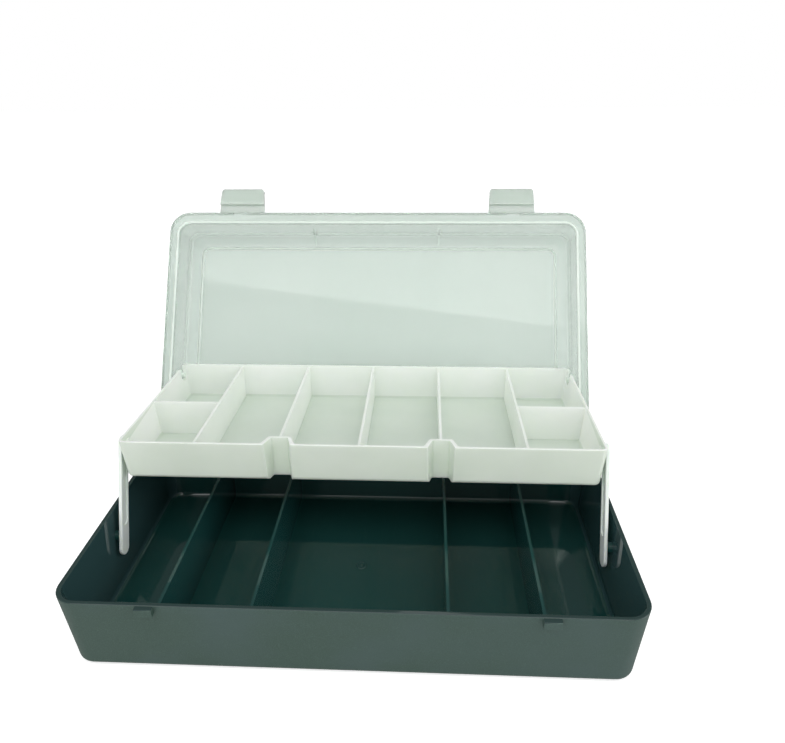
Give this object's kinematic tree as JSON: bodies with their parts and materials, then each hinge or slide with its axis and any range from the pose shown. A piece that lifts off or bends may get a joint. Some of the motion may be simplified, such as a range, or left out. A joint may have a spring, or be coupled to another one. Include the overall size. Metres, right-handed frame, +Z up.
{
  "type": "tackle box",
  "caption": "Shallow plastic tackle box: dark divided tub, frosted hinged lid with snap latches, and a compartment tray that swings out on arms as the lid opens.",
  "frame": {"origin": "middle of the tub's underside, on the surface it stands on", "axes": "+X along the tub's long side to the right, +Y to the hinges at the back, +Z up"},
  "size_m": [0.2728, 0.2397, 0.1795],
  "materials": {
    "tub_plastic": "fine grain outside, smooth inside",
    "tray_plastic": "smooth",
    "lid_plastic": "frosted, translucent",
    "pin_steel": "drawn wire"
  },
  "bodies": {
    "base": {"base": "tub_plastic", "hinge_pin_left": "pin_steel", "hinge_pin_right": "pin_steel"},
    "lid": {"lid": "lid_plastic"},
    "tray": {"tray": "tray_plastic"},
    "arm_left": {"arm_left": "tray_plastic"},
    "arm_right": {"arm_right": "tray_plastic"},
    "latch_left": {"latch_left": "lid_plastic"},
    "latch_right": {"latch_right": "lid_plastic"}
  },
  "joints": [
    {"name": "lid_hinge", "type": "hinge", "parent": "base", "child": "lid", "pos_m": [0, 0.0744, 0.043], "axis": [1, 0, 0], "range_deg": [0, 123]},
    {"name": "arm_left_pivot", "type": "hinge", "parent": "base", "child": "arm_left", "pos_m": [-0.1282, -0.0066, 0.028], "axis": [1, 0, 0], "range_deg": [0, 87.9]},
    {"name": "arm_right_pivot", "type": "hinge", "parent": "base", "child": "arm_right", "pos_m": [0.1282, -0.0066, 0.028], "axis": [1, 0, 0], "range_deg": [0, 87.9]},
    {"name": "tray_pivot", "type": "hinge", "parent": "arm_left", "child": "tray", "pos_m": [-0.1282, 0.01359, 0.07422], "axis": [1, 0, 0], "range_deg": [-85.4, 0]},
    {"name": "latch_left_fold", "type": "hinge", "parent": "lid", "child": "latch_left", "pos_m": [-0.089, 0.15453, 0.16547], "axis": [1, 0, 0], "range_deg": [-20, 90]},
    {"name": "latch_right_fold", "type": "hinge", "parent": "lid", "child": "latch_right", "pos_m": [0.089, 0.15453, 0.16547], "axis": [1, 0, 0], "range_deg": [-20, 90]}
  ],
  "couplings": [
    {"joint": "arm_left_pivot", "follows": "lid_hinge", "ratio": 0.71337},
    {"joint": "arm_right_pivot", "follows": "lid_hinge", "ratio": 0.71337},
    {"joint": "tray_pivot", "follows": "lid_hinge", "ratio": -0.69305}
  ]
}
